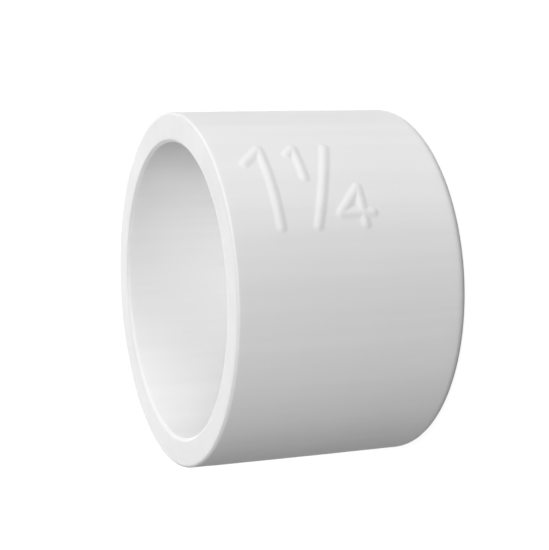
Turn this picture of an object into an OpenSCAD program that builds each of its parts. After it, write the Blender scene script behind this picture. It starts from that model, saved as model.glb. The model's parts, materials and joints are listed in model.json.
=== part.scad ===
// Slip cap for plastic pressure pipe: one white moulding that closes the end of a pipe.
// It stands on its closed end, centred on the Z axis, with its mouth facing up.

/* [Socket] */
// Outside diameter of the pipe that the cap is glued onto
pipe_d = 42.16; // [34:0.01:54]
// Gap between the pipe and the socket's wall, on the radius
pipe_clearance = 0.13; // [0.05:0.01:0.4]
// How far the pipe goes in, from the rim to the stop
socket_depth = 24; // [18:0.1:36]
// Width of the ledge that stops the pipe
stop_w = 1.6; // [1:0.1:2.4]

/* [Walls] */
// Thickness of the barrel round the socket
barrel_wall = 4.19; // [3.4:0.01:7]
// Thickness of the closed end at its middle
end_wall = 5.4; // [4:0.1:9]
// Depth of the dished hollow, from the stop to the closed end
hollow_depth = 4.6; // [3:0.1:7]

/* [Edges] */
// Radius of the outer edge round the closed end
end_edge_r = 1.5; // [0.5:0.1:2.5]
// Radius of the outer edge round the rim
rim_edge_r = 0.4; // [0.2:0.1:1]
// Size of the chamfer that leads the pipe into the socket
lead_in = 0.4; // [0.2:0.1:1.2]

/* [Gate mark] */
// Width of the dimple in the closed end, where the plastic was fed in
dimple_d = 9; // [5:0.1:14]
// Depth of the dimple
dimple_depth = 0.6; // [0.4:0.05:1]
// Width of the trimmed stub in the dimple
stub_d = 2.4; // [1:0.1:4]
// How far the stub stays below the closed end's face
stub_gap = 0.2; // [0.1:0.05:0.3]

/* [Size number] */
// Height of the raised figures, measured round the barrel
figure_h = 14; // [6:0.1:17]
// Width of a figure's strokes
stroke_w = 1; // [0.6:0.1:1.4]
// How far the figures stand out of the barrel
figure_relief = 0.15; // [0.1:0.05:0.4]
// Distance from the rim to the middle of the number
figure_from_rim = 13.1; // [12:0.1:16]
// Direction of the number round the barrel, in degrees from +X
figure_angle = -58; // [-180:1:180]

/* [Hidden] */

$fn = 96;
cut = 1;           // how far a cutting shape runs past the surface that it cuts
overlap = 0.1;     // how far the hollow's cut runs up into the socket's
root_depth = 0.5;  // how deep the figures are rooted in the barrel's wall

socket_r = pipe_d / 2 + pipe_clearance;
barrel_r = socket_r + barrel_wall;
stop_z = end_wall + hollow_depth;
cap_h = stop_z + socket_depth;
hollow_r = socket_r - stop_w;

// Radius of the sphere that cuts a dish with this radius and depth
function dish_sphere_r(r, depth) = (r ^ 2 + depth ^ 2) / (2 * depth);
hollow_sphere_r = dish_sphere_r(hollow_r, hollow_depth);
dimple_sphere_r = dish_sphere_r(dimple_d / 2, dimple_depth);

// Everything outside a rounded corner of radius r, whose straight sides meet at the origin
module beyond_corner(r) {
    difference() {
        translate([-r, -cut]) square([r + cut, r + cut]);
        translate([-r, r]) circle(r = r);
    }
}

// Half section of the solid cap, before it is hollowed
module outer_section() {
    difference() {
        square([barrel_r, cap_h]);
        translate([barrel_r, 0]) beyond_corner(end_edge_r);
        translate([barrel_r, cap_h]) mirror([0, 1]) beyond_corner(rim_edge_r);
    }
}

// Half section of the straight socket and the chamfer at its mouth
module socket_section() {
    polygon([
        [0, stop_z],
        [socket_r, stop_z],
        [socket_r, cap_h - lead_in],
        [socket_r + lead_in + cut, cap_h + cut],
        [0, cap_h + cut]
    ]);
}

// Half section of the hollow behind the stop: a dish whose edge is the inside of the ledge
module hollow_section() {
    intersection() {
        translate([0, end_wall + hollow_sphere_r]) circle(r = hollow_sphere_r);
        square([socket_r, stop_z + overlap]);
    }
}

// The shallow dimple in the closed end, less the stub that trimming left in it
module gate_mark() {
    difference() {
        translate([0, 0, dimple_depth - dimple_sphere_r]) sphere(r = dimple_sphere_r);
        translate([0, 0, stub_gap]) cylinder(h = dimple_depth + cut, d = stub_d);
    }
}

// One straight stroke with round ends
module stroke(from, to) {
    run = to - from;
    translate(from) rotate(atan2(run.y, run.x)) {
        translate([0, -stroke_w / 2]) square([norm(run), stroke_w]);
        circle(d = stroke_w);
        translate([norm(run), 0]) circle(d = stroke_w);
    }
}

// The figure 1, h high, with its foot's middle at the origin
module figure_one(h) {
    flag = h * 0.22;
    stroke([0, 0], [0, h]);
    stroke([0, h], [-flag, h - flag]);
}

// The figure 4, h high, with its stem's foot at the origin
module figure_four(h) {
    arm_y = h * 0.3;
    stroke([0, 0], [0, h]);
    stroke([0, h], [-h * 0.6, arm_y]);
    stroke([-h * 0.6, arm_y], [h * 0.25, arm_y]);
}

// The nominal size, 1 1/4, flat and centred on the origin
module number_outline() {
    top = figure_h / 2 - stroke_w / 2;
    small_h = figure_h * 0.4;
    lean = figure_h * 0.16;
    slash_x = figure_h * 0.12;
    translate([-figure_h * 0.42, -top]) figure_one(2 * top);
    translate([-figure_h * 0.06, top - small_h]) figure_one(small_h);
    stroke([slash_x - lean, -top], [slash_x + lean, top]);
    translate([figure_h * 0.46, -top]) figure_four(small_h);
}

// The raised number, read with the mouth on the left
module size_number() {
    intersection() {
        rotate([0, 0, figure_angle]) translate([0, 0, cap_h - figure_from_rim]) rotate([0, 90, 0])
            linear_extrude(height = barrel_r + figure_relief + cut) number_outline();
        difference() {
            cylinder(h = cap_h, r = barrel_r + figure_relief);
            translate([0, 0, -cut]) cylinder(h = cap_h + 2 * cut, r = barrel_r - root_depth);
        }
    }
}

module cap_body() {
    color([0.93, 0.93, 0.93]) {
        difference() {
            rotate_extrude() difference() {
                outer_section();
                socket_section();
                hollow_section();
            }
            gate_mark();
        }
        size_number();
    }
}

cap_body();
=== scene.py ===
# %% [markdown]
# # A white slip cap for plastic pipe
#
# The cap is a short, thick-walled cup, moulded in one piece from white rigid PVC. A plumber glues
# it over the end of a pipe. Nothing on it moves, so its looks are all in one well-made surface:
# crisp but never razor-sharp edges, a raised size number, the faint seam of the mould, and a clean,
# slightly waxy plastic skin under soft light.
#
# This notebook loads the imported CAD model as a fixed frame, works the visible surface out with
# numpy, gives it a plastic made of shader nodes, and lights it for a product picture.

# %% Load the frame
import json

import bpy
import numpy as np
from mathutils import Matrix, Vector


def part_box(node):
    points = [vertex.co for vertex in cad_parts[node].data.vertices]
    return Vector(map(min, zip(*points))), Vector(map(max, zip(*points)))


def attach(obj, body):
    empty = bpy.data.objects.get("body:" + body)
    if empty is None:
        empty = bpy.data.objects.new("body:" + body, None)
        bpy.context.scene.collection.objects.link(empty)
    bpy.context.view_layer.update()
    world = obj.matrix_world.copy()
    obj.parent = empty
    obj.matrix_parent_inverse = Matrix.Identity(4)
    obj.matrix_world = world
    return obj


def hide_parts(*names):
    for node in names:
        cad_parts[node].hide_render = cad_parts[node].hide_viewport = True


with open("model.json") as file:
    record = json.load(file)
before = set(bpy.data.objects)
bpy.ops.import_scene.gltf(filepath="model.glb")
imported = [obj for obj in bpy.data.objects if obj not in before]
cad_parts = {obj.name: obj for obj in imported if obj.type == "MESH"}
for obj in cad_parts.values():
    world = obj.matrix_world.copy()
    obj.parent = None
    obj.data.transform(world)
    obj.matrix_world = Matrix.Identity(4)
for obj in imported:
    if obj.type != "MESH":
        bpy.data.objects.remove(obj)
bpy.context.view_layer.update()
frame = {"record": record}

# %% [markdown]
# ## Sizes
#
# Whatever the frame knows is read from it: the barrel and the height come from the CAD node's box,
# and the socket comes from its mount. The few sizes that the frame doesn't carry are the same as in
# the CAD source. Lengths are in metres, because Blender's are, so small ones are written as
# millimetres times MM.

# %% Read the main sizes from the frame
MM = 0.001

low, high = (np.array(corner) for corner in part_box("cap_body"))
barrel_r = (high[0] - low[0]) / 2
cap_h = high[2]

socket = next(m for m in frame["record"]["mounts"] if m["name"] == "socket")
socket_r = socket["dims"]["r_mm"] * MM
stop_z = socket["pos_m"][2]
lead_in = cap_h - stop_z - socket["dims"]["length_mm"] * MM
print("barrel radius %.2f mm, height %.2f mm" % (barrel_r / MM, cap_h / MM))
print("socket radius %.2f mm, stop at %.2f mm, lead-in %.2f mm" % (socket_r / MM, stop_z / MM, lead_in / MM))

# %% Name the sizes that the frame doesn't carry
end_wall = 5.4 * MM        # thickness of the closed end at its middle
ledge_w = 1.6 * MM         # width of the ledge that stops the pipe
end_edge_r = 1.5 * MM      # radius of the outer edge round the closed end
rim_edge_r = 0.4 * MM      # radius of the outer edge round the rim
dimple_r = 4.5 * MM        # the gate dimple in the closed end
dimple_depth = 0.6 * MM
stub_r = 1.2 * MM          # the trimmed stub left in the dimple
stub_gap = 0.2 * MM        # how far the stub stays below the closed end's face

figure_h = 14 * MM         # height of the raised figures, round the barrel
stroke_w = 1 * MM          # width of their strokes
figure_relief = 0.15 * MM  # how far they stand out
figure_z = cap_h - 13.1 * MM
figure_angle = np.radians(-58)

# %% [markdown]
# ## The half section
#
# A turned shape is one curve spun round an axis. The curve here runs from the middle of the closed
# end's outer face, out and up the barrel, over the rim, down the socket to the ledge, and back to
# the axis along the dished hollow. It is drawn first with sharp corners, as on a drawing, from
# straight lines and round arcs.
#
# A dish of radius r and depth d is part of a sphere whose radius is (r squared + d squared) / 2d.

# %% Draw lines and arcs as rows of points
STEP = 0.02 * MM  # spacing of the drawn points


def line(start, end):
    """Points on a straight line, evenly spaced: start + (end - start) t, for t from 0 to 1."""
    start, end = np.array(start), np.array(end)
    count = max(int(np.ceil(np.linalg.norm(end - start) / STEP)), 1)
    t = np.linspace(0, 1, count, endpoint=False)[:, None]
    return start + (end - start) * t


def arc(centre, radius, from_deg, to_deg):
    """Points on a circle, evenly spaced: centre + radius (cos a, sin a), from one angle a to the other."""
    sweep = np.radians([from_deg, to_deg])
    count = max(int(np.ceil(abs(sweep[1] - sweep[0]) * radius / STEP)), 1)
    a = np.linspace(*sweep, count, endpoint=False)
    return np.array(centre) + radius * np.column_stack([np.cos(a), np.sin(a)])


def dish_sphere(radius, depth):
    """Radius of the sphere that holds a dish, and half the angle that the dish spans, in degrees."""
    sphere_r = (radius**2 + depth**2) / (2 * depth)
    return sphere_r, np.degrees(np.arcsin(radius / sphere_r))


# %% Draw the sharp half section
hollow_r = socket_r - ledge_w
hollow_sphere_r, hollow_deg = dish_sphere(hollow_r, stop_z - end_wall)
dimple_sphere_r, dimple_deg = dish_sphere(dimple_r, dimple_depth)
dimple_centre_z = dimple_depth - dimple_sphere_r
stub_deg = np.degrees(np.arcsin(stub_r / dimple_sphere_r))
stub_foot_z = dimple_centre_z + dimple_sphere_r * np.cos(np.radians(stub_deg))

sharp = np.concatenate([
    line((0, stub_gap), (stub_r, stub_gap)),
    line((stub_r, stub_gap), (stub_r, stub_foot_z)),
    arc((0, dimple_centre_z), dimple_sphere_r, 90 - stub_deg, 90 - dimple_deg),
    line((dimple_r, 0), (barrel_r - end_edge_r, 0)),
    arc((barrel_r - end_edge_r, end_edge_r), end_edge_r, -90, 0),
    line((barrel_r, end_edge_r), (barrel_r, cap_h - rim_edge_r)),
    arc((barrel_r - rim_edge_r, cap_h - rim_edge_r), rim_edge_r, 0, 90),
    line((barrel_r - rim_edge_r, cap_h), (socket_r + lead_in, cap_h)),
    line((socket_r + lead_in, cap_h), (socket_r, cap_h - lead_in)),
    line((socket_r, cap_h - lead_in), (socket_r, stop_z)),
    line((socket_r, stop_z), (hollow_r, stop_z)),
    arc((0, end_wall + hollow_sphere_r), hollow_sphere_r, hollow_deg - 90, -90),
    [(0, end_wall)],
])
print(len(sharp), "points drawn")

# %% [markdown]
# ## Softened corners
#
# No moulded edge is perfectly sharp, and an edge catches light only if it has some width. Each
# drawn corner could get its own small radius, but there is a shorter way: every point is replaced
# by the average of its neighbours along the curve. Straight stretches stay straight, and each
# corner turns into a smooth bend as wide as the average.

# %% Average the points along the curve
SOFTNESS = 0.07 * MM  # how far the average reaches, as a bell curve's standard deviation


def soften(points, reach):
    """Weighted mean of each point's neighbours along the curve.

    The weights are a bell curve, exp(-(s / reach)^2 / 2). The curve is carried on past both its ends, as its
    mirror image through each end point, so the ends stay put."""
    span = int(4 * reach / STEP)
    before = 2 * points[0] - points[span:0:-1]
    after = 2 * points[-1] - points[-2:-span - 2:-1]
    padded = np.concatenate([before, points, after])
    s = np.arange(-span, span + 1) * STEP
    bell = np.exp(-((s / reach) ** 2) / 2)
    bell /= bell.sum()
    return np.column_stack([np.convolve(column, bell, "valid") for column in padded.T])


section = soften(sharp, SOFTNESS)
steps = np.linalg.norm(np.diff(section, axis=0), axis=1)
length = np.concatenate([[0], np.cumsum(steps)])
print("the half section is %.1f mm long" % (length[-1] / MM))

# %% [markdown]
# ## Sink
#
# Thick plastic shrinks more than thin plastic as it cools. The closed end is the thickest part of
# the cap, so the barrel draws in by a few hundredths of a millimetre beside it. It can't be
# measured by eye, but reflections on the barrel bend there, and that is part of what makes moulded
# plastic look moulded.

# %% Draw the barrel in beside the closed end
SINK = 0.035 * MM
sink_z = 6.5 * MM
sink_reach = 3 * MM

outside = (length > 0) & (section[:, 0] > barrel_r - end_edge_r) & (np.gradient(section[:, 1]) >= 0)
sink = SINK * np.exp(-(((section[:, 1] - sink_z) / sink_reach) ** 2) / 2)
section[:, 0] -= np.where(outside, sink, 0)
print("deepest sink %.3f mm" % (np.where(outside, sink, 0).max() / MM))

# %% [markdown]
# ## Where the grid is fine
#
# The surface is a grid of two parameters: the angle round the axis and the length along the half
# section. A grid line is only needed where something happens, so each direction has a density, in
# lines per metre or per radian. The running total of the density is cut into equal shares, and a
# grid line goes at each cut. The lines crowd together at corners and under the raised figures, and
# spread out on the plain stretches.

# %% Share grid lines out by density
def shared_out(where, density, ends=True):
    """Places along `where` at which the running total of density reaches equal shares of its full value."""
    step_total = (density[1:] + density[:-1]) / 2 * np.diff(where)
    total = np.concatenate([[0], np.cumsum(step_total)])
    count = int(np.ceil(total[-1]))
    shares = np.linspace(0, total[-1], count + 1)
    return np.interp(shares if ends else shares[:-1], total, where)


def band(where, middle, half_width, blend):
    """1 within half_width of the middle, falling to 0 over the blend by the smoothstep 3 t^2 - 2 t^3."""
    t = np.clip((half_width + blend - np.abs(where - middle)) / blend, 0, 1)
    return t * t * (3 - 2 * t)


# %% Place the rows along the half section
PLAIN_ROW = 1.1 * MM     # spacing on plain stretches
FIGURE_ROW = 0.17 * MM   # spacing under the raised figures
BEND_DEG = 9             # how far the curve may turn between two rows
BEND_AVERAGE = 15        # points over which the bend is averaged
NUMBER_BLEND = 0.8 * MM  # over which the rows thin out beyond the number

number_half_length = 0.68 * figure_h  # along the barrel, with room for the flanks
tangent = np.gradient(section, length, axis=0)
heading = np.unwrap(np.arctan2(tangent[:, 1], tangent[:, 0]))
bend = np.abs(np.gradient(heading, length))
bend = np.convolve(bend, np.ones(BEND_AVERAGE) / BEND_AVERAGE, "same")
on_barrel = section[:, 0] > barrel_r - end_edge_r
under_figures = band(section[:, 1], figure_z, number_half_length, NUMBER_BLEND) * on_barrel
row_density = 1 / PLAIN_ROW + bend / np.radians(BEND_DEG) + under_figures / FIGURE_ROW
row_at = shared_out(length, row_density)
rows = np.column_stack([np.interp(row_at, length, section[:, i]) for i in range(2)])
print(len(rows), "rows")

# %% Place the columns round the axis
PLAIN_COLUMN = np.radians(2.2)         # spacing on plain stretches
FIGURE_COLUMN = FIGURE_ROW / barrel_r  # spacing under the raised figures
SEAM_COLUMN = 0.09 * MM / barrel_r     # spacing across a seam
NUMBER_FADE = 0.03  # radians over which the columns thin out beyond the number
SEAM_FADE = 0.008   # and beyond a seam
RING_STEPS = 20000  # how finely the density is drawn round the axis

seam_angles = np.radians([5, 185])  # where the two halves of the mould met
number_half_angle = 0.56 * figure_h / barrel_r
seam_half_angle = 0.35 * MM / barrel_r
ring = np.linspace(-np.pi / 2, 3 * np.pi / 2, RING_STEPS + 1)


def apart(angle_a, angle_b):
    """Signed angle from b to a, between minus half a turn and half a turn."""
    return (angle_a - angle_b + np.pi) % (2 * np.pi) - np.pi


beside_figures = band(apart(ring, figure_angle), 0, number_half_angle, NUMBER_FADE)
column_density = 1 / PLAIN_COLUMN + beside_figures / FIGURE_COLUMN
for seam in seam_angles:
    column_density += band(apart(ring, seam), 0, seam_half_angle, SEAM_FADE) / SEAM_COLUMN
columns = shared_out(ring, column_density, ends=False)
print(len(columns), "columns, so about", 2 * len(rows) * len(columns), "triangles")

# %% [markdown]
# ## The raised size number
#
# Fittings carry their pipe's nominal size in raised figures, cut into the mould. These read 1 1/4,
# with the mouth on the left. Each figure is a few straight strokes. The distance from a point to
# the nearest stroke says how high the surface stands there: full height inside the stroke, and a
# smooth slope down to the barrel at its edge. Flat strokes are laid on the barrel by measuring y
# round it and x along it, away from the mouth.

# %% List the strokes of the figures
def figure_one(x, y, h):
    """The two strokes of a 1 that stands on (x, y)."""
    flag = 0.22 * h
    return [((x, y), (x, y + h)), ((x, y + h), (x - flag, y + h - flag))]


def figure_four(x, y, h):
    """The three strokes of a 4 whose stem stands on (x, y)."""
    arm_y, left = y + 0.3 * h, x - 0.6 * h
    return [((x, y), (x, y + h)), ((x, y + h), (left, arm_y)), ((left, arm_y), (x + 0.25 * h, arm_y))]


top = (figure_h - stroke_w) / 2
small_h = 0.4 * figure_h
lean = 0.16 * figure_h
slash_x = 0.12 * figure_h
strokes = (
    figure_one(-0.42 * figure_h, -top, 2 * top)
    + figure_one(-0.06 * figure_h, top - small_h, small_h)
    + [((slash_x - lean, -top), (slash_x + lean, top))]
    + figure_four(0.46 * figure_h, -top, small_h)
)
print(len(strokes), "strokes")


# %% Turn the distance from the strokes into height
def stroke_distance(x, y, start, end):
    """Distance from each (x, y) to a stroke's nearest point: start + t (end - start), t within 0 to 1."""
    start, run = np.array(start), np.array(end) - np.array(start)
    t = np.clip(((x - start[0]) * run[0] + (y - start[1]) * run[1]) / (run @ run), 0, 1)
    return np.hypot(x - start[0] - t * run[0], y - start[1] - t * run[1])


def step_down(distance, edge, slope):
    """1 inside the edge, 0 outside it, with a smoothstep as wide as the slope between."""
    t = np.clip((edge + slope / 2 - distance) / slope, 0, 1)
    return t * t * (3 - 2 * t)


FLANK = 0.9 * MM  # width of the slope from a stroke's flat top down to the barrel
SEAM_HEIGHT = 0.045 * MM
SEAM_HALF_WIDTH = 0.14 * MM
SEAM_FLANK = 0.2 * MM
SEAM_END = 3 * end_edge_r         # the seam starts to fade this far from either end
SEAM_FADE_OUT = 1.5 * end_edge_r  # and is gone after this much more


def relief(angle, z):
    """Height above the plain barrel: the figures, and a fine raised seam at each mould joint."""
    x = figure_z - z
    y = apart(angle, figure_angle) * barrel_r
    nearest = np.minimum.reduce([stroke_distance(x, y, *stroke) for stroke in strokes])
    height = figure_relief * step_down(nearest, stroke_w / 2, FLANK)
    seam_length = band(z, cap_h / 2, cap_h / 2 - SEAM_END, SEAM_FADE_OUT)
    for seam in seam_angles:
        across = np.abs(apart(angle, seam)) * barrel_r
        height = height + SEAM_HEIGHT * seam_length * step_down(across, SEAM_HALF_WIDTH, SEAM_FLANK)
    return height


# %% [markdown]
# ## Spinning the section into a mesh
#
# Every grid point is (r cos a, r sin a, z), with the relief added to r on the barrel. The two rows
# that lie on the axis would be rings of equal points, so each becomes a single point with a fan of
# triangles round it. The last column joins back onto the first. The result is one closed surface
# with its faces pointing outwards.

# %% Work out the points of the grid
BARREL_BAND = 0.3 * MM  # rows this close to the full radius are the barrel's

angle, row = np.meshgrid(columns, np.arange(1, len(rows) - 1))
r, z = rows[row, 0], rows[row, 1]

barrel_row = (r > barrel_r - BARREL_BAND) & (z > end_edge_r) & (z < cap_h - rim_edge_r)
r = r + np.where(barrel_row, relief(angle, z), 0)
grid = np.stack([r * np.cos(angle), r * np.sin(angle), z], axis=-1)
points = np.concatenate([grid.reshape(-1, 3), [[0, 0, rows[0, 1]], [0, 0, rows[-1, 1]]]])
print("furthest point from the axis: %.3f mm" % (np.hypot(points[:, 0], points[:, 1]).max() / MM))


# %% Join the points into faces
def grid_faces(row_count, column_count):
    """Quads between neighbouring rows, closed round the ring, and a fan of triangles at each end.

    Point (i, j) has the number i * column_count + j; the two end points follow all of the grid's."""
    i, j = np.meshgrid(np.arange(row_count - 1), np.arange(column_count), indexing="ij")
    after = (j + 1) % column_count
    quads = np.stack([i, i, i + 1, i + 1]) * column_count + np.stack([j, after, after, j])
    ring_j = np.arange(column_count)
    ring_after = (ring_j + 1) % column_count
    first_end, last_end = row_count * column_count, row_count * column_count + 1
    last_row = (row_count - 1) * column_count
    start_fan = np.stack([np.full(column_count, first_end), ring_after, ring_j], axis=1)
    end_fan = np.stack([np.full(column_count, last_end), last_row + ring_j, last_row + ring_after], axis=1)
    return quads.reshape(4, -1).T.tolist() + start_fan.tolist() + end_fan.tolist()


faces = grid_faces(len(rows) - 2, len(columns))
mesh = bpy.data.meshes.new("moulded_cap")
mesh.from_pydata(points.tolist(), [], faces)
mesh.shade_smooth()
mesh.validate()
cap = bpy.data.objects.new("moulded_cap", mesh)
bpy.context.collection.objects.link(cap)
print(len(mesh.vertices), "points,", len(mesh.polygons), "faces")

# %% [markdown]
# ## A plastic skin
#
# White rigid PVC is a dense, opaque plastic. Most of its look is plain diffuse white under a soft,
# broad gloss. What tells the eye that it is moulded, and not painted, is small. The gloss comes and
# goes in soft patches. The barrel, made against a blasted mould, has a very slight orange peel. The
# socket, made by a polished core, has hair-fine marks along the way the core was pulled out. Turned
# faces leave rings that follow the radius. Loose in a bin with others, the cap picks up a few short
# scuffs.
#
# Each of these effects is a node group that measures Object coordinates and puts out values only.
# The shader itself stays in the material, where its constants are set directly on its sockets.

# %% Helpers for building node trees
def add_node(tree, kind, **settings):
    """A new node of that kind. Settings name its properties, or its inputs by name or by number after in_."""
    node = tree.nodes.new(kind)
    for name, value in settings.items():
        if name.startswith("in_"):
            key = name[3:]
            node.inputs[int(key) if key.isdigit() else key.replace("_", " ")].default_value = value
        else:
            setattr(node, name, value)
    return node


def join(tree, *pairs):
    """Links each pair: an output, then the input that it feeds."""
    for output, entry in pairs:
        tree.links.new(output, entry)


def new_group(name, inputs, outputs):
    """An empty shader node group with these number inputs, given as name: default, and number outputs."""
    group = bpy.data.node_groups.new(name, "ShaderNodeTree")
    for socket_name, default in inputs.items():
        entry = group.interface.new_socket(socket_name, in_out="INPUT", socket_type="NodeSocketFloat")
        entry.default_value = default
    for socket_name in outputs:
        group.interface.new_socket(socket_name, in_out="OUTPUT", socket_type="NodeSocketFloat")
    return group, group.nodes.new("NodeGroupInput"), group.nodes.new("NodeGroupOutput")


def add_smooth_step(tree, start, end, low=0.0, high=1.0):
    """A Map Range node that goes smoothly from low to high as its value goes from start to end."""
    settings = dict(interpolation_type="SMOOTHSTEP", in_1=start, in_2=end, in_3=low, in_4=high)
    return add_node(tree, "ShaderNodeMapRange", **settings)


def distance_from_axis(tree, place):
    """The length of an Object coordinate's x and y alone, which is its distance from the z axis."""
    flat = add_node(tree, "ShaderNodeVectorMath", operation="MULTIPLY", in_1=(1, 1, 0))
    radius = add_node(tree, "ShaderNodeVectorMath", operation="LENGTH")
    join(tree, (place, flat.inputs[0]), (flat.outputs["Vector"], radius.inputs[0]))
    return radius.outputs["Value"]


# %% Orange peel and patchy gloss
PEEL_SCALE = 900.0  # bumps in a metre
PATCH_SCALE = 70.0  # patches in a metre


def make_moulded_skin():
    """Two cloud patterns: a fine one for the orange peel, and a wide one for where the gloss is duller."""
    defaults = {"Peel Scale": PEEL_SCALE, "Patch Scale": PATCH_SCALE}
    group, given, result = new_group("moulded_skin", defaults, ["Peel", "Patches"])
    place = add_node(group, "ShaderNodeTexCoord")
    peel = add_node(group, "ShaderNodeTexNoise", in_Detail=1.5, in_Roughness=0.45)
    patches = add_node(group, "ShaderNodeTexNoise", in_Detail=4.0, in_Roughness=0.6)
    join(
        group,
        (place.outputs["Object"], peel.inputs["Vector"]),
        (place.outputs["Object"], patches.inputs["Vector"]),
        (given.outputs["Peel Scale"], peel.inputs["Scale"]),
        (given.outputs["Patch Scale"], patches.inputs["Scale"]),
        (peel.outputs["Fac"], result.inputs["Peel"]),
        (patches.outputs["Fac"], result.inputs["Patches"]),
    )
    return group


moulded_skin = make_moulded_skin()
print("orange peel bumps are about %.1f mm apart" % (1 / PEEL_SCALE / MM))


# %% Marks along the way the core was pulled out
HAIR_FINENESS = 2600.0  # hairlines in a metre
HAIR_STRETCH = 0.03     # their width over their length


def make_draw_marks():
    """A cloud pattern stretched along the axis, so that its patches become upright hairlines."""
    defaults = {"Fineness": HAIR_FINENESS, "Stretch": HAIR_STRETCH}
    group, given, result = new_group("draw_marks", defaults, ["Marks"])
    place = add_node(group, "ShaderNodeTexCoord")
    split = add_node(group, "ShaderNodeSeparateXYZ")
    slow = add_node(group, "ShaderNodeMath", operation="MULTIPLY")
    stretched = add_node(group, "ShaderNodeCombineXYZ")
    hairs = add_node(group, "ShaderNodeTexNoise", in_Detail=3.0, in_Roughness=0.7)
    join(
        group,
        (place.outputs["Object"], split.inputs["Vector"]),
        (split.outputs["Z"], slow.inputs[0]),
        (given.outputs["Stretch"], slow.inputs[1]),
        (split.outputs["X"], stretched.inputs["X"]),
        (split.outputs["Y"], stretched.inputs["Y"]),
        (slow.outputs["Value"], stretched.inputs["Z"]),
        (stretched.outputs["Vector"], hairs.inputs["Vector"]),
        (given.outputs["Fineness"], hairs.inputs["Scale"]),
        (hairs.outputs["Fac"], result.inputs["Marks"]),
    )
    return group


draw_marks = make_draw_marks()
hair_width = 1 / HAIR_FINENESS / MM
print("hairlines are about %.1f mm apart and %.0f mm long" % (hair_width, hair_width / HAIR_STRETCH))


# %% Rings left by turned mould faces
RING_FINENESS = 3500.0     # rings in a metre
FACING_AXIS = (0.8, 0.98)  # the normal's z between which the rings fade in


def make_turned_rings():
    """A one-dimensional cloud pattern of the distance from the axis, kept to faces square to the axis."""
    group, given, result = new_group("turned_rings", {"Fineness": RING_FINENESS}, ["Rings"])
    place = add_node(group, "ShaderNodeTexCoord")
    rings = add_node(group, "ShaderNodeTexNoise", noise_dimensions="1D", in_Detail=2.0)
    facing = add_node(group, "ShaderNodeSeparateXYZ")
    size = add_node(group, "ShaderNodeMath", operation="ABSOLUTE")
    flatness = add_smooth_step(group, *FACING_AXIS)
    kept = add_node(group, "ShaderNodeMath", operation="MULTIPLY")
    join(
        group,
        (distance_from_axis(group, place.outputs["Object"]), rings.inputs["W"]),
        (given.outputs["Fineness"], rings.inputs["Scale"]),
        (place.outputs["Normal"], facing.inputs["Vector"]),
        (facing.outputs["Z"], size.inputs[0]),
        (size.outputs["Value"], flatness.inputs["Value"]),
        (rings.outputs["Fac"], kept.inputs[0]),
        (flatness.outputs["Result"], kept.inputs[1]),
        (kept.outputs["Value"], result.inputs["Rings"]),
    )
    return group


turned_rings = make_turned_rings()
print("rings are about %.1f mm apart" % (1 / RING_FINENESS / MM))


# %% A mask of the surfaces that the core made
WALL_BLEND = (0.6 * MM, 0.2 * MM)  # distances outside the socket's wall: none of the mask, and all of it
FLOOR_BLEND = (-3 * MM, -1 * MM)   # heights above the hollow's bottom: none of the mask, and all of it


def make_core_side():
    """1 on the socket, the ledge and the hollow; 0 on the rim, the barrel and the closed end's outer face.

    It is a smooth step down with the distance from the axis, times a smooth step up with the height."""
    group, given, result = new_group("core_side", {"Wall": socket_r, "Floor": end_wall}, ["Core"])
    place = add_node(group, "ShaderNodeTexCoord")
    split = add_node(group, "ShaderNodeSeparateXYZ")
    beyond = add_node(group, "ShaderNodeMath", operation="SUBTRACT")
    inner = add_smooth_step(group, *WALL_BLEND)
    above = add_node(group, "ShaderNodeMath", operation="SUBTRACT")
    upper = add_smooth_step(group, *FLOOR_BLEND)
    both = add_node(group, "ShaderNodeMath", operation="MULTIPLY")
    join(
        group,
        (distance_from_axis(group, place.outputs["Object"]), beyond.inputs[0]),
        (given.outputs["Wall"], beyond.inputs[1]),
        (beyond.outputs["Value"], inner.inputs["Value"]),
        (place.outputs["Object"], split.inputs["Vector"]),
        (split.outputs["Z"], above.inputs[0]),
        (given.outputs["Floor"], above.inputs[1]),
        (above.outputs["Value"], upper.inputs["Value"]),
        (inner.outputs["Result"], both.inputs[0]),
        (upper.outputs["Result"], both.inputs[1]),
        (both.outputs["Value"], result.inputs["Core"]),
    )
    return group


core_side = make_core_side()
print("the core made everything within %.1f mm of the axis above the closed end" % (socket_r / MM))


# %% Scuffs from handling
SCUFF_PLACES = 110.0       # scuffed places in a metre
SCUFF_LINES = 500.0        # scuff lines in a metre, before they are squeezed
SCUFF_SQUEEZE = (9, 1, 1)  # across the lines
SCUFF_LEAN = (0.5, 0.9, 0.3)
LINE_PEAKS = (0.6, 0.72)   # values at which a line's peak begins and is full
PLACE_PEAKS = (0.55, 0.7)  # the same for a scuffed place


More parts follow.
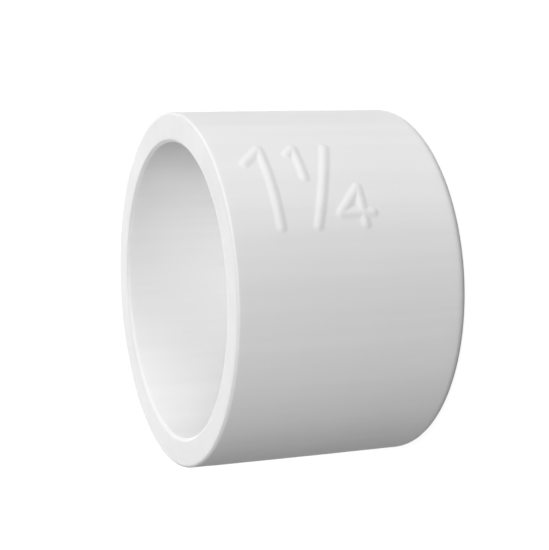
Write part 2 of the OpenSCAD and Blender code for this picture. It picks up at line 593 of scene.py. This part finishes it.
def make_scuffs():
    """Short hairlines in places: a squeezed cloud pattern's peaks, kept to the peaks of a wide one."""
    defaults = {"Place Scale": SCUFF_PLACES, "Line Scale": SCUFF_LINES}
    group, given, result = new_group("handling_scuffs", defaults, ["Scuffs"])
    place = add_node(group, "ShaderNodeTexCoord")
    lean = add_node(group, "ShaderNodeMapping", in_Rotation=SCUFF_LEAN, in_Scale=SCUFF_SQUEEZE)
    lines = add_node(group, "ShaderNodeTexNoise", in_Detail=1.0)
    places = add_node(group, "ShaderNodeTexNoise", in_Detail=1.0)
    line_peaks = add_smooth_step(group, *LINE_PEAKS)
    place_peaks = add_smooth_step(group, *PLACE_PEAKS)
    both = add_node(group, "ShaderNodeMath", operation="MULTIPLY")
    join(
        group,
        (place.outputs["Object"], lean.inputs["Vector"]),
        (lean.outputs["Vector"], lines.inputs["Vector"]),
        (given.outputs["Line Scale"], lines.inputs["Scale"]),
        (place.outputs["Object"], places.inputs["Vector"]),
        (given.outputs["Place Scale"], places.inputs["Scale"]),
        (lines.outputs["Fac"], line_peaks.inputs["Value"]),
        (places.outputs["Fac"], place_peaks.inputs["Value"]),
        (line_peaks.outputs["Result"], both.inputs[0]),
        (place_peaks.outputs["Result"], both.inputs[1]),
        (both.outputs["Value"], result.inputs["Scuffs"]),
    )
    return group


handling_scuffs = make_scuffs()
print("scuffs lie in places about %.0f mm apart" % (1 / SCUFF_PLACES / MM))

# %% [markdown]
# ## The material
#
# The groups feed three things. The base colour moves by about a part in a hundred, mostly in faint
# streaks along the cap: the hairline group is placed a second time with wider lines, because the
# plastic flowed that way as the mould filled. The patches and scuffs move the roughness, so the
# white stays clean while the gloss looks alive. The heights, in metres, are masked to where each
# effect belongs and added up, and one Bump node turns the sum into the shading normal.

# %% Helpers that join values
def add_group(tree, group):
    """A copy of a node group in the tree."""
    node = tree.nodes.new("ShaderNodeGroup")
    node.node_tree = group
    return node


def weighted(tree, source, weight, offset=0.0):
    """source times weight plus offset. The weight and the offset are numbers or other outputs."""
    node = add_node(tree, "ShaderNodeMath", operation="MULTIPLY_ADD")
    for entry, value in zip(node.inputs, (source, weight, offset)):
        if isinstance(value, (int, float)):
            entry.default_value = value
        else:
            tree.links.new(value, entry)
    return node.outputs["Value"]


# %% Mix the plastic
WHITE = (0.93, 0.93, 0.93, 1)
DULL_WHITE = (0.83, 0.83, 0.83, 1)
STREAK_SHARE = 0.75      # how much of the colour's change is flow streaks; the rest is patches
STREAK_FINENESS = 420.0  # flow streaks in a metre
ROUGHNESS = 0.54         # where the gloss is best
PATCH_DULLING = 0.16     # how much rougher the dullest patches are
SCUFF_DULLING = 0.12
PVC_IOR = 1.53
REFLECTION = 0.3         # 0.5 is a polished surface; a blasted mould's texture reflects less
PEEL_HEIGHT = 0.006 * MM
MARK_HEIGHT = 0.0015 * MM
RING_HEIGHT = 0.0015 * MM
SCUFF_DEPTH = 0.002 * MM


def make_moulded_pvc():
    """White rigid PVC: near-white colour, soft gloss that wanders a little, and bump micrometres high."""
    material = bpy.data.materials.new("moulded_pvc")
    material.use_nodes = True
    tree = material.node_tree
    shader = tree.nodes["Principled BSDF"]
    shader.inputs["IOR"].default_value = PVC_IOR
    shader.inputs["Specular IOR Level"].default_value = REFLECTION
    groups = (moulded_skin, draw_marks, turned_rings, core_side, handling_scuffs)
    skin, marks, rings, core, scuffs = (add_group(tree, group).outputs for group in groups)

    flow = add_group(tree, draw_marks)
    flow.inputs["Fineness"].default_value = STREAK_FINENESS
    streaks = weighted(tree, flow.outputs["Marks"], STREAK_SHARE)
    change = weighted(tree, skin["Patches"], 1 - STREAK_SHARE, streaks)
    tone = add_node(tree, "ShaderNodeMix", data_type="RGBA", in_6=WHITE, in_7=DULL_WHITE)
    join(tree, (change, tone.inputs["Factor"]), (tone.outputs[2], shader.inputs["Base Color"]))

    dullness = weighted(tree, skin["Patches"], PATCH_DULLING, ROUGHNESS)
    dullness = weighted(tree, scuffs["Scuffs"], SCUFF_DULLING, dullness)
    join(tree, (dullness, shader.inputs["Roughness"]))

    outside = weighted(tree, core["Core"], -PEEL_HEIGHT, PEEL_HEIGHT)
    inside = weighted(tree, core["Core"], MARK_HEIGHT)
    height = weighted(tree, skin["Peel"], outside)
    height = weighted(tree, marks["Marks"], inside, height)
    height = weighted(tree, rings["Rings"], RING_HEIGHT, height)
    height = weighted(tree, scuffs["Scuffs"], -SCUFF_DEPTH, height)
    bump = add_node(tree, "ShaderNodeBump", in_Strength=1.0, in_Distance=1.0)
    join(tree, (height, bump.inputs["Height"]), (bump.outputs["Normal"], shader.inputs["Normal"]))
    return material


moulded_pvc = make_moulded_pvc()
cap.data.materials.append(moulded_pvc)
print("material", moulded_pvc.name, "has", len(moulded_pvc.node_tree.nodes), "nodes")

# %% [markdown]
# ## Joining the frame
#
# The new surface stands for the CAD node, which stays in the physics model but isn't shown. The row
# has no joints, so its one body is called root.

# %% Ride on the body and replace the CAD node
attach(cap, "root")
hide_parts("cap_body")

# %% [markdown]
# ## Floor
#
# The cap stands on a plain pale floor, which should read as clean white paper and still hold a soft
# shadow. A diffuse floor bright enough to read white would throw light back up at the cap and wash
# out its shading. So the floor gives most of its white as light of its own, which only the camera
# and reflections see, and the rest is a dull diffuse that takes the shadow. Far from the cap, where
# the lamps hardly reach, its own light grows to full white, so that no horizon shows.

# %% Tell which rays see the white background
def white_rays(tree):
    """1 for the camera's rays and for those that a surface reflected or let through, 0 for diffuse light."""
    path = add_node(tree, "ShaderNodeLightPath")
    bent = add_node(tree, "ShaderNodeMath", operation="MAXIMUM")
    seen = add_node(tree, "ShaderNodeMath", operation="MAXIMUM")
    join(
        tree,
        (path.outputs["Is Glossy Ray"], bent.inputs[0]),
        (path.outputs["Is Transmission Ray"], bent.inputs[1]),
        (path.outputs["Is Camera Ray"], seen.inputs[0]),
        (bent.outputs["Value"], seen.inputs[1]),
    )
    return seen.outputs["Value"]


# %% Lay the floor
FLOOR_HALF = 1.5           # metres
FLOOR_GREY = (0.25, 0.25, 0.25, 1)
NEAR_GLOW = 0.86           # the glow beside the cap, where the lamps add the rest
GLOW_GROWS = (0.12, 0.45)  # metres from the cap between which the glow grows to 1


def make_floor_material():
    """Diffuse grey plus, for rays that see the background, enough light of its own to read as white paper."""
    material = bpy.data.materials.new("white_floor")
    material.use_nodes = True
    tree = material.node_tree
    tree.nodes.clear()
    out = add_node(tree, "ShaderNodeOutputMaterial")
    diffuse = add_node(tree, "ShaderNodeBsdfDiffuse", in_Color=FLOOR_GREY)
    glow = add_node(tree, "ShaderNodeEmission")
    place = add_node(tree, "ShaderNodeTexCoord")
    growth = add_smooth_step(tree, *GLOW_GROWS, low=NEAR_GLOW)
    both = add_node(tree, "ShaderNodeAddShader")
    join(
        tree,
        (distance_from_axis(tree, place.outputs["Object"]), growth.inputs["Value"]),
        (weighted(tree, white_rays(tree), growth.outputs["Result"]), glow.inputs["Strength"]),
        (diffuse.outputs["BSDF"], both.inputs[0]),
        (glow.outputs["Emission"], both.inputs[1]),
        (both.outputs["Shader"], out.inputs["Surface"]),
    )
    return material


corners = FLOOR_HALF * np.array([[-1, -1, 0], [1, -1, 0], [1, 1, 0], [-1, 1, 0]])
floor_mesh = bpy.data.meshes.new("floor")
floor_mesh.from_pydata(corners.tolist(), [], [(0, 1, 2, 3)])
floor = bpy.data.objects.new("floor", floor_mesh)
floor.data.materials.append(make_floor_material())
bpy.context.collection.objects.link(floor)
print("floor %.0f m wide" % (2 * FLOOR_HALF))

# %% [markdown]
# ## Light
#
# Big lamps close by give soft light. The key stands low on the +X side, which the rolled camera
# shows as the top, so the barrel is brightest there and the light dies away gently round it. The
# front lamp, higher up, reaches into the socket, and the one at the back lights the far side and
# lays a soft sheen on the rim. The world gives no light of its own: it is only the white
# background.

# %% Set up the lamps
LAMP_DISTANCE = 0.9  # metres from the middle of the cap
LAMP_WIDTH = 0.6


def add_lamp(name, azimuth, elevation, power):
    """A square area lamp aimed at the cap. Azimuth 0 is the camera's side and 90 is +X."""
    lamp = bpy.data.lights.new(name, "AREA")
    lamp.size = LAMP_WIDTH
    lamp.energy = power
    a, e = np.radians([azimuth, elevation])
    back = Vector((np.sin(a) * np.cos(e), -np.cos(a) * np.cos(e), np.sin(e)))
    holder = bpy.data.objects.new(name, lamp)
    holder.rotation_mode = "QUATERNION"
    holder.location = Vector((0, 0, cap_h / 2)) + back * LAMP_DISTANCE
    holder.rotation_quaternion = (-back).to_track_quat("-Z", "Y")
    bpy.context.collection.objects.link(holder)
    return holder


lamps = [
    add_lamp("key", azimuth=90, elevation=15, power=5.75),
    add_lamp("front", azimuth=0, elevation=40, power=6.4),
    add_lamp("back", azimuth=180, elevation=15, power=5.6),
]
print(len(lamps), "lamps")


# %% Make the world a white background
def make_world():
    """A plain world: strength 1 for the rays that see the background, and none for the others."""
    world = bpy.data.worlds.new("studio")
    world.use_nodes = True
    tree = world.node_tree
    tree.nodes["Background"].inputs["Color"].default_value = (1, 1, 1, 1)
    tree.links.new(white_rays(tree), tree.nodes["Background"].inputs["Strength"])
    return world


bpy.context.scene.world = make_world()
bpy.context.scene.view_settings.view_transform = "Standard"
print("world ready")

# %% [markdown]
# ## Camera
#
# The picture looks down into the mouth at a slant, with the camera turned on its side: the cap's
# axis lies almost level across the picture, its mouth on the left. So the camera is placed as for
# an upright picture, by elevation and distance, and then rolled about its own line of sight. A long
# lens keeps the barrel's two sides almost parallel.

# %% Place the camera
VIEW_ELEVATION = 22.6  # degrees above level
VIEW_ROLL = -93.1      # degrees about the line of sight
VIEW_DISTANCE = 237.4 * MM
AIM = Vector((1.4 * MM, 0, 18.1 * MM))
LENS = 105.8           # millimetres, as on a camera

camera_data = bpy.data.cameras.new("camera")
camera_data.sensor_fit = "HORIZONTAL"
camera_data.lens = LENS
camera_data.clip_start = 0.01
camera = bpy.data.objects.new("camera", camera_data)
bpy.context.collection.objects.link(camera)

slope = np.radians(VIEW_ELEVATION)
back = Vector((0, -np.cos(slope), np.sin(slope)))
upright = (-back).to_track_quat("-Z", "Y").to_matrix()
rolled = upright @ Matrix.Rotation(np.radians(VIEW_ROLL), 3, "Z")
camera.matrix_world = Matrix.Translation(AIM + back * VIEW_DISTANCE) @ rolled.to_4x4()
bpy.context.scene.camera = camera
print("camera at", [round(side / MM, 1) for side in camera.location], "mm")
